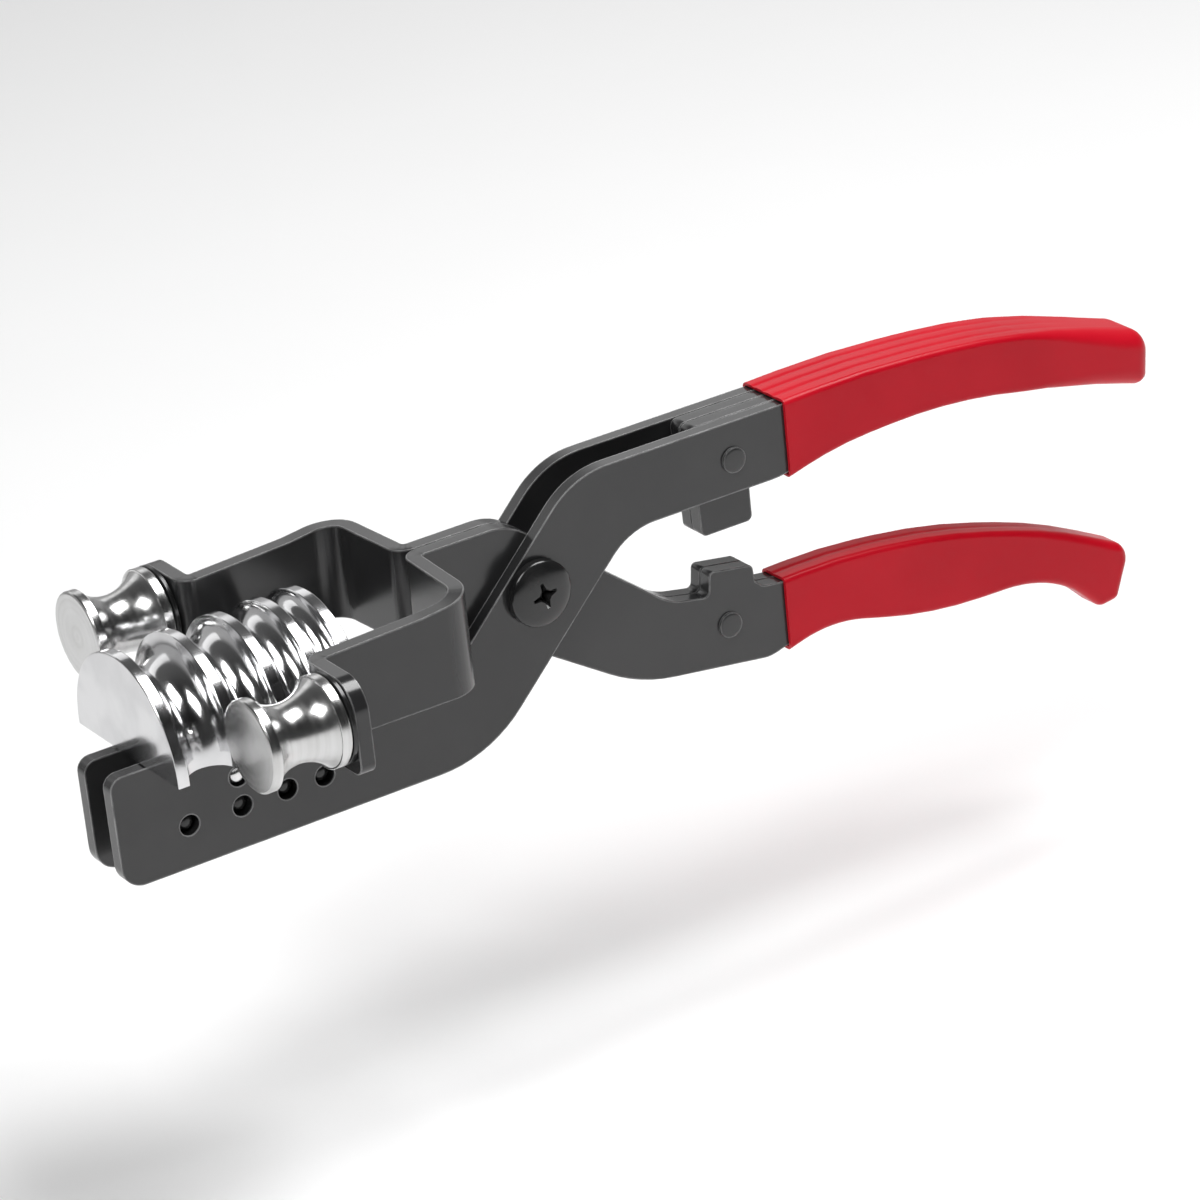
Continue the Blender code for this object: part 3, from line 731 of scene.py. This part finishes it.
def black_paint():
    """Satin black paint: faint orange peel, uneven gloss, and a painted highlight that lightens the edges to
    grey in patches.
    """
    n = Nodes("satin_black_paint")
    at = n.place()
    broad, peel = n.noise(at, 42, 2), n.noise(at, 620, 2)
    base = n.mix(n.spread(broad, 0.35, 0.65, 0, 1), grey(0.019, (1, 1, 1.04)), grey(0.025, (1, 1, 1.02)))
    # Painted highlight: the rounded edges are lightened towards grey, unevenly along their length.
    painted_edge_highlight = n.math("MULTIPLY", n.edges(0.0006, 0.012, 0.09), n.spread(n.noise(at, 240, 4), 0.3, 0.7, 0.45, 1.0))
    base = n.mix(n.math("MULTIPLY", painted_edge_highlight, 0.85), base, grey(0.38))
    rough = n.spread(broad, 0.3, 0.7, 0.17, 0.27)
    return n.done(Base_Color=base, Roughness=rough, Specular_IOR_Level=0.60,
                  Normal=n.bump(peel, 0.05, 0.0001))


def black_oxide():
    """Darker, glossier black of the screw, nut, washers and four of the pins."""
    n = Nodes("black_oxide")
    at = n.place()
    broad, fine = n.noise(at, 160, 3), n.noise(at, 1800, 2)
    base = n.mix(n.spread(broad, 0.35, 0.65, 0, 1), grey(0.009, (1, 1, 1.05)), grey(0.016))
    # Painted highlight: the edges are lightened towards grey.
    base = n.mix(n.math("MULTIPLY", n.edges(0.0003), 0.5), base, grey(0.14))
    rough = n.spread(broad, 0.3, 0.7, 0.16, 0.26)
    return n.done(Base_Color=base, Roughness=rough, Specular_IOR_Level=0.55,
                  Normal=n.bump(fine, 0.05, 0.0001))


def chrome():
    """Bright plating with faint polishing waves and a little haze."""
    n = Nodes("bright_chrome")
    at = n.place()
    haze, wave, fine = n.noise(at, 130, 3), n.noise(at, 210, 2), n.noise(at, 3000, 2)
    base = n.mix(n.spread(haze, 0.35, 0.7, 0, 1), grey(0.69, (1, 1, 1.01)), grey(0.61, (1, 1, 1.015)))
    rough = n.spread(haze, 0.35, 0.72, 0.12, 0.20)
    normal = n.bump(fine, 0.04, 0.00005, n.bump(wave, 0.035, 0.0003))
    return n.done(Base_Color=base, Roughness=rough, Metallic=1.0, Normal=normal)


def turned_aluminium():
    """Lathe-turned metal. Rings round the X axis of the object: fine grooves with uneven depth."""
    n = Nodes("turned_aluminium")
    split = n.add("ShaderNodeSeparateXYZ", None, Vector=n.place()).outputs
    square = n.math("ADD", n.math("MULTIPLY", split[1], split[1]), n.math("MULTIPLY", split[2], split[2]))
    radius = n.math("SQRT", square, 0.0)
    rings = n.add("ShaderNodeCombineXYZ", None, X=split[0], Y=radius, Z=0.0).outputs[0]
    fine, coarse = n.noise(rings, 5200, 2), n.noise(rings, 900, 3)
    tone = n.noise(n.place(), 180, 3)
    stain = n.math("ADD", coarse, n.math("MULTIPLY", tone, 0.5))
    base = n.mix(n.spread(stain, 0.5, 1.0, 0, 1), grey(0.62), grey(0.53, (1, 1, 0.99)))
    rough = n.spread(coarse, 0.3, 0.7, 0.19, 0.265)
    normal = n.bump(fine, 0.04, 0.00006, n.bump(coarse, 0.04, 0.0001))
    return n.done(Base_Color=base, Roughness=rough, Metallic=1.0, Normal=normal)


def pin_steel():
    """Bare steel of the axles and the bright pin, mottled."""
    n = Nodes("pin_steel")
    at = n.place()
    tone, fine = n.noise(at, 500, 3), n.noise(at, 2500, 2)
    base = n.mix(n.spread(tone, 0.35, 0.65, 0, 1), grey(0.72), grey(0.5, (1, 1, 1.02)))
    return n.done(Base_Color=base, Metallic=1.0, Roughness=n.spread(tone, 0.3, 0.7, 0.16, 0.26),
                  Normal=n.bump(fine, 0.15, 0.00005))


def red_vinyl():
    """Dipped soft vinyl: deep red that varies a little, a painted highlight that makes the edges paler, soft
    gloss with faint waves.
    """
    n = Nodes("red_dipped_vinyl")
    at = n.place()
    broad, wave = n.noise(at, 30, 2), n.noise(at, 110, 2)
    base = n.mix(n.spread(broad, 0.33, 0.67, 0, 1), (0.50, 0.0032, 0.014, 1), (0.56, 0.0055, 0.018, 1))
    # Painted highlight: the edges are lightened to a paler red.
    base = n.mix(n.math("MULTIPLY", n.edges(0.0009, 0.03, 0.4), 0.3), base, (0.64, 0.03, 0.04, 1))
    rough = n.spread(broad, 0.3, 0.7, 0.285, 0.36)
    return n.done(Base_Color=base, Roughness=rough, Specular_IOR_Level=0.18,
                  Normal=n.bump(wave, 0.08, 0.0003))


def pale_floor():
    n = Nodes("pale_floor")
    base = n.mix(n.noise(n.place(), 14, 3), grey(0.93), grey(0.95))
    return n.done(Base_Color=base, Roughness=0.7, Specular_IOR_Level=0.1)


# ---------------------------------------------------------------- assembly

def dress(obj, material, body, slot, *nodes):
    """Gives a finished piece its material and its body, and hides the nodes that it stands for. The slot is not
    used.
    """
    obj.data.materials.clear()
    obj.data.materials.append(material)
    weighted_normals(obj)
    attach(obj, body)
    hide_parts(*nodes)
    return obj


def build():
    """Makes all 24 pieces. Side is -1 for the near half and 1 for the far one."""
    paint, oxide, plating, vinyl, steel = black_paint(), black_oxide(), chrome(), red_vinyl(), pin_steel()
    aluminium = turned_aluminium()
    lever, yoke = "former_lever", "roller_lever"
    rivet_hole = (*UPPER_RIVET, RIVET_R + 0.1, 32)
    pin_holes = [(x, PIN_Z, PIN_HOLE_R, 40) for x in groove_middles()]
    dowel_x = groove_middles()[1]
    side_holes = [(PIVOT_X, PIVOT_Z, PIVOT_R + 0.1, 48), rivet_hole, *pin_holes,
                  (dowel_x, DOWEL_Z, PIN_HOLE_R, 40)]
    along_x, along_y = (1, 0, 0), (0, 1, 0)

    for side, word in ((-1, "near"), (1, "far")):
        skin = plate("side_plate_" + word + "_skin", side_plate_outline(), OUTER_T, side * OUTER_Y, side_holes)
        dress(skin, paint, lever, "black_paint", "side_plate_" + word)
        filler = plate("filler_" + word + "_skin", filler_outline(), INNER_T, side * INNER_Y, [rivet_hole])
        dress(filler, paint, lever, "black_paint", "handle_filler_" + word)
        dress(arm("arm_" + word + "_skin", side), paint, yoke, "black_paint", "roller_arm_" + word)

        y = side * ROLLER_Y
        roller = turned("roller_" + word + "_turned", roller_profile(), (ROLLER_X, y, ROLLER_Z), along_x, 160)
        roller = centred(roller, (ROLLER_X + ROLLER_L / 2, y, ROLLER_Z))
        dress(roller, aluminium, word + "_roller", "turned_aluminium", "roller_" + word)
        ring = washer_profile(ROLLER_X + ROLLER_L + GAP)
        washer = turned("washer_" + word + "_ring", ring, (0, y, ROLLER_Z), along_x, 96, 30)
        dress(washer, oxide, yoke, "black_oxide", "roller_washer_" + word)
        stub = axle_profile(TAB_X + INNER_T + 0.02, ROLLER_X + 3.3)
        axle = turned("axle_" + word + "_pin", stub, (0, y, ROLLER_Z), along_x, 64, 25)
        dress(axle, steel, yoke, "pin_steel", "roller_axle_" + word)

    dress(former(), plating, lever, "chrome", "former")
    pins = [(f"former_pin_{i + 1}", x, PIN_Z, STACK_Y - PIN_RECESS, oxide)
            for i, x in enumerate(groove_middles())]
    pins.append(("former_dowel", dowel_x, DOWEL_Z, STACK_Y - 0.1, steel))
    for name, x, z, reach, look in pins:
        pin = turned(name + "_end", pin_profile(reach), (x, 0, z), along_y, 48, 25)
        dress(pin, look, lever, "pin_steel", name)
    dress(screw(), oxide, lever, "black_oxide", "pivot_screw")
    dress(nut(), oxide, lever, "black_oxide", "pivot_nut")
    lower_half = INNER_T + GAP / 2
    dress(rivet("upper_rivet_heads", UPPER_RIVET, STACK_Y), paint, lever, "black_oxide", "upper_rivet")
    dress(rivet("lower_rivet_heads", LOWER_RIVET, lower_half), paint, yoke, "black_oxide", "lower_rivet")

    seam = INNER_T + GAP
    upper = grip("upper_grip_sleeve", upper_grip_outline(), STACK_Y, (-seam, 0, seam), UPPER_SLACK, UPPER_ROUND)
    dress(upper, vinyl, lever, "red_vinyl", "upper_grip")
    lower = grip("lower_grip_sleeve", lower_grip_outline(), lower_half, (0,), LOWER_SLACK, LOWER_ROUND)
    dress(lower, vinyl, yoke, "red_vinyl", "lower_grip")


# ---------------------------------------------------------------- studio

# name, place (m), size (m), power (W). All are aimed at the middle of the tool.
SOFT_LIGHTS = (("right", (0.42, -0.08, 1.00), (0.62, 0.62), 12.4),
               ("left", (-0.62, -0.40, 0.80), (0.40, 0.54), 6.0),
               ("back", (0.10, 1.10, 0.60), (1.60, 0.40), 1.6))
WALL_DIM, WALL_PALE = 0.04, 0.46                           # brightness of the room in front and behind
WALL_ABOVE = 0.25                                          # share of it that is left overhead

LENS, SENSOR = 165.66, 36                                  # mm
CAMERA_AT = Vector((-0.372153, -0.812301, 0.445498))       # metres, in the drawing frame
CAMERA_RIGHT = Vector((0.83359, -0.54384, -0.09681))
CAMERA_REAR = Vector((-0.46412, -0.78459, 0.41111))


def floor_and_walls():
    """Pale floor, and a world that is dim in front and above and pale behind, low down."""
    bpy.ops.mesh.primitive_plane_add(size=6, location=(0, 0.6, CAD_LOW.z - FLOOR_DROP))
    floor = bpy.context.active_object
    floor.name = "floor"
    floor.data.materials.append(pale_floor())

    room = bpy.data.worlds.new("studio")
    bpy.context.scene.world = room
    room.use_nodes = True
    tree = room.node_tree
    ray = tree.nodes.new("ShaderNodeTexCoord")
    split = tree.nodes.new("ShaderNodeSeparateXYZ")
    tree.links.new(ray.outputs["Generated"], split.inputs[0])
    walls = soft_step(tree, split.outputs["Y"], -0.3, 0.8, WALL_DIM, WALL_PALE)
    height = soft_step(tree, split.outputs["Z"], 0.34, 0.64, 1.0, WALL_ABOVE)
    total = tree.nodes.new("ShaderNodeMath")
    total.operation = "MULTIPLY"
    tree.links.new(walls, total.inputs[0])
    tree.links.new(height, total.inputs[1])
    tree.links.new(total.outputs[0], tree.nodes["Background"].inputs["Color"])


def soft_lights():
    """Three large soft lights."""
    for name, spot, size, power in SOFT_LIGHTS:
        light = bpy.data.lights.new(name, "AREA")
        light.shape = "RECTANGLE"
        light.size, light.size_y = size
        light.energy = power
        lamp = bpy.data.objects.new(name, light)
        bpy.context.scene.collection.objects.link(lamp)
        lamp.location = spot
        lamp.rotation_euler = (-Vector(spot)).to_track_quat("-Z", "Y").to_euler()


def camera():
    """At the photographed viewing angle."""
    data = bpy.data.cameras.new("camera")
    data.lens, data.sensor_width = LENS, SENSOR
    data.clip_start, data.clip_end = 0.05, 20
    obj = bpy.data.objects.new("camera", data)
    bpy.context.scene.collection.objects.link(obj)
    right = CAMERA_RIGHT.normalized()
    rear = (CAMERA_REAR - right * CAMERA_REAR.dot(right)).normalized()
    turn = Matrix((right, rear.cross(right), rear)).transposed().to_4x4()
    obj.matrix_world = Matrix.Translation(CAMERA_AT + world(0, 0, 0)) @ turn
    bpy.context.scene.camera = obj
    bpy.context.scene.view_settings.view_transform = "Standard"


build()
floor_and_walls()
soft_lights()
camera()
